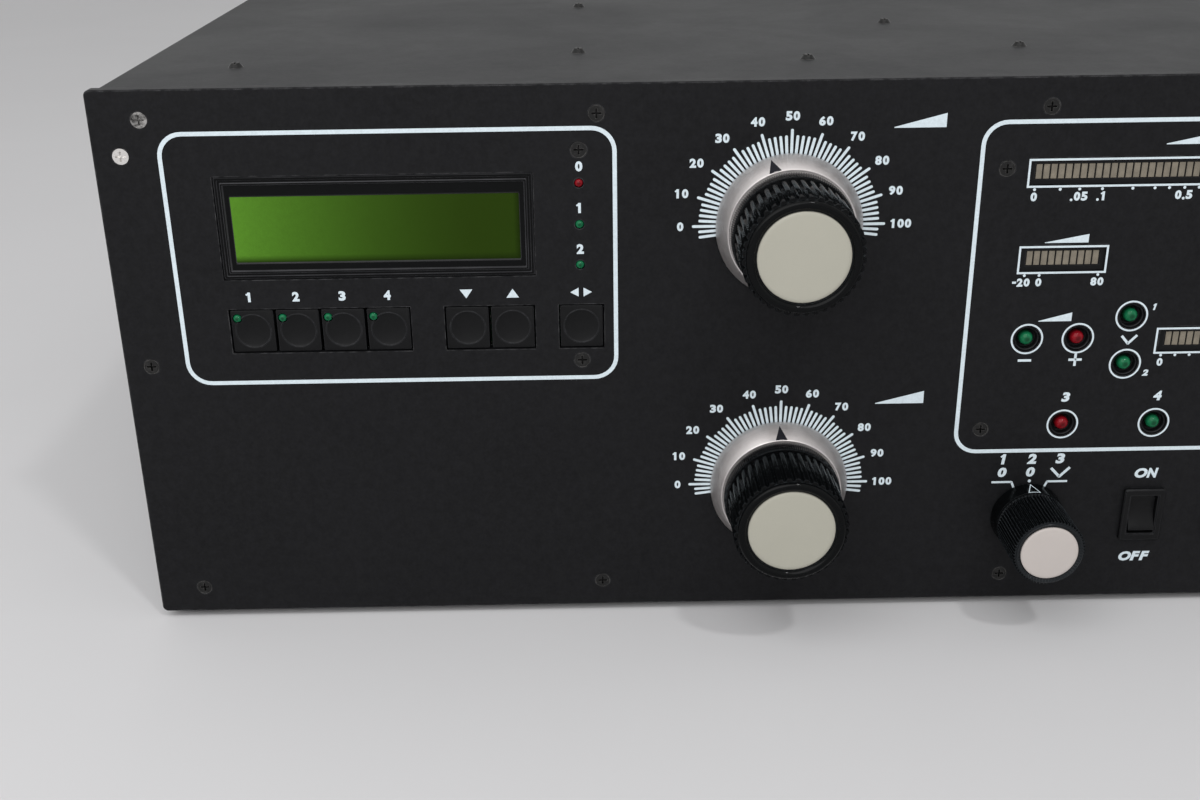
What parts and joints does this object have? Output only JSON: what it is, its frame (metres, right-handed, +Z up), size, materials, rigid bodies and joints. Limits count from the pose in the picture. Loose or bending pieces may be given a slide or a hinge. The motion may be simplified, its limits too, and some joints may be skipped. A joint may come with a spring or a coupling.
{
  "type": "hf linear amplifier",
  "caption": "Table-top radio-frequency power amplifier in a black case, with a display, push buttons, two large tuning dials, a selector knob, light bars and rocker switches.",
  "frame": {"origin": "on the table, under the middle of the whole part", "axes": "+Z up; the front panel faces -Y; +X is right seen from the front"},
  "size_m": [0.485, 0.4786, 0.2016],
  "materials": {
    "panel_black": "fine-textured black powder coat",
    "cover_black": "fine-textured black powder coat on steel",
    "zinc_steel": "zinc-plated sheet steel",
    "black_screw": "blackened steel",
    "rubber": "matt",
    "aluminium": "satin, bead-blasted",
    "black_plastic": "fine-grained",
    "gloss_black": "glossy",
    "cap_grey": "satin, warm grey",
    "display_green": "backlit green display behind clear plastic",
    "circuit_board": "solder-masked board",
    "green_lens": "tinted translucent lens, unlit",
    "red_lens": "tinted translucent lens, unlit",
    "copper": "drawn copper tube",
    "ceramic": "glazed ceramic",
    "nickel": "nickel plate",
    "winding": "taped winding",
    "can_blue": "sleeved can",
    "belt_rubber": "toothed rubber belt",
    "motor_steel": "laminated steel"
  },
  "bodies": {
    "case": {"band_switch_frame": "ceramic", "blower_housing": "black_plastic", "button_switches": "black_plastic", "case_screws": "black_screw", "chassis_tray": "cover_black", "circuit_boards": "circuit_board", "coaxial_sockets": "nickel", "display_bezel": "gloss_black", "display_window": "display_green", "drive_belts": "belt_rubber", "drive_motors": "motor_steel", "exhaust_fan_frame": "black_plastic", "filter_capacitors": "can_blue", "front_frame": "zinc_steel", "front_panel": "panel_black", "green_lights": "green_lens", "ground_stud": "nickel", "light_bars": "black_plastic", "load_capacitor_frame": "aluminium", "mains_inlet": "black_plastic", "mains_transformer": "winding", "panel_screws": "black_screw", "partition_walls": "zinc_steel", "power_tube": "nickel", "rear_panel": "cover_black", "red_lights": "red_lens", "rocker_housings": "black_plastic", "rubber_feet": "rubber", "selector_switch": "nickel", "sub_panel": "zinc_steel", "tank_coil": "copper", "top_cover": "cover_black", "tube_chimney": "ceramic", "tube_deck": "zinc_steel", "tube_socket": "ceramic", "tune_capacitor_frame": "aluminium"},
    "tune_drive": {"tune_knob_skirt": "aluminium", "tune_knob_grip": "gloss_black", "tune_knob_cap": "cap_grey", "tune_capacitor_rotor": "aluminium"},
    "load_drive": {"load_knob_skirt": "aluminium", "load_knob_grip": "gloss_black", "load_knob_cap": "cap_grey", "load_capacitor_rotor": "aluminium"},
    "tune_motor": {"tune_motor_pulley": "aluminium"},
    "load_motor": {"load_motor_pulley": "aluminium"},
    "selector": {"selector_knob": "black_plastic", "selector_knob_cap": "cap_grey"},
    "set_key": {"set_button": "black_plastic"},
    "tune_key": {"tune_button": "black_plastic"},
    "auto_key": {"auto_button": "black_plastic"},
    "manual_key": {"manual_button": "black_plastic"},
    "down_key": {"down_button": "black_plastic"},
    "up_key": {"up_button": "black_plastic"},
    "antenna_key": {"antenna_button": "black_plastic"},
    "standby_switch": {"standby_rocker": "black_plastic"},
    "power_switch": {"power_rocker": "black_plastic"},
    "blower": {"blower_wheel": "zinc_steel"},
    "exhaust_fan": {"exhaust_fan_rotor": "black_plastic"},
    "band_switch": {"band_switch_rotor": "nickel"}
  },
  "joints": [
    {"name": "tune_turn", "type": "hinge", "parent": "case", "child": "tune_drive", "pos_m": [-0.0103, -0.20075, 0.151], "axis": [0, 1, 0], "range_deg": [-80.1, 114.3]},
    {"name": "load_turn", "type": "hinge", "parent": "case", "child": "load_drive", "pos_m": [-0.0103, -0.20075, 0.0532], "axis": [0, 1, 0], "range_deg": [-95.4, 99]},
    {"name": "tune_motor_turn", "type": "hinge", "parent": "case", "child": "tune_motor", "pos_m": [-0.0703, -0.16075, 0.151], "axis": [0, 1, 0], "range_deg": [-160.2, 228.6]},
    {"name": "load_motor_turn", "type": "hinge", "parent": "case", "child": "load_motor", "pos_m": [-0.0703, -0.16075, 0.0532], "axis": [0, 1, 0], "range_deg": [-190.8, 198]},
    {"name": "selector_turn", "type": "hinge", "parent": "case", "child": "selector", "pos_m": [0.0825, -0.20075, 0.0383], "axis": [0, 1, 0], "range_deg": [-30, 30]},
    {"name": "set_press", "type": "slide", "parent": "case", "child": "set_key", "axis": [0, 1, 0], "range_m": [0, 0.0015], "stiffness_N_per_m": 600},
    {"name": "tune_press", "type": "slide", "parent": "case", "child": "tune_key", "axis": [0, 1, 0], "range_m": [0, 0.0015], "stiffness_N_per_m": 600},
    {"name": "auto_press", "type": "slide", "parent": "case", "child": "auto_key", "axis": [0, 1, 0], "range_m": [0, 0.0015], "stiffness_N_per_m": 600},
    {"name": "manual_press", "type": "slide", "parent": "case", "child": "manual_key", "axis": [0, 1, 0], "range_m": [0, 0.0015], "stiffness_N_per_m": 600},
    {"name": "down_press", "type": "slide", "parent": "case", "child": "down_key", "axis": [0, 1, 0], "range_m": [0, 0.0015], "stiffness_N_per_m": 600},
    {"name": "up_press", "type": "slide", "parent": "case", "child": "up_key", "axis": [0, 1, 0], "range_m": [0, 0.0015], "stiffness_N_per_m": 600},
    {"name": "antenna_press", "type": "slide", "parent": "case", "child": "antenna_key", "axis": [0, 1, 0], "range_m": [0, 0.0015], "stiffness_N_per_m": 600},
    {"name": "standby_rock", "type": "hinge", "parent": "case", "child": "standby_switch", "pos_m": [0.1255, -0.19875, 0.0382], "axis": [1, 0, 0], "range_deg": [0, 20]},
    {"name": "power_rock", "type": "hinge", "parent": "case", "child": "power_switch", "pos_m": [0.1575, -0.19875, 0.0382], "axis": [1, 0, 0], "range_deg": [0, 20]},
    {"name": "blower_spin", "type": "hinge", "parent": "case", "child": "blower", "pos_m": [-0.0025, 0.10925, 0.057], "axis": [0, 1, 0], "continuous": true},
    {"name": "fan_spin", "type": "hinge", "parent": "case", "child": "exhaust_fan", "pos_m": [-0.1679, 0.19925, 0.121], "axis": [0, 1, 0], "continuous": true},
    {"name": "band_turn", "type": "hinge", "parent": "case", "child": "band_switch", "pos_m": [0.1175, -0.07075, 0.049], "axis": [1, 0, 0], "range_deg": [0, 180]}
  ],
  "couplings": [
    {"joint": "tune_motor_turn", "follows": "tune_turn", "ratio": 2},
    {"joint": "load_motor_turn", "follows": "load_turn", "ratio": 2}
  ]
}
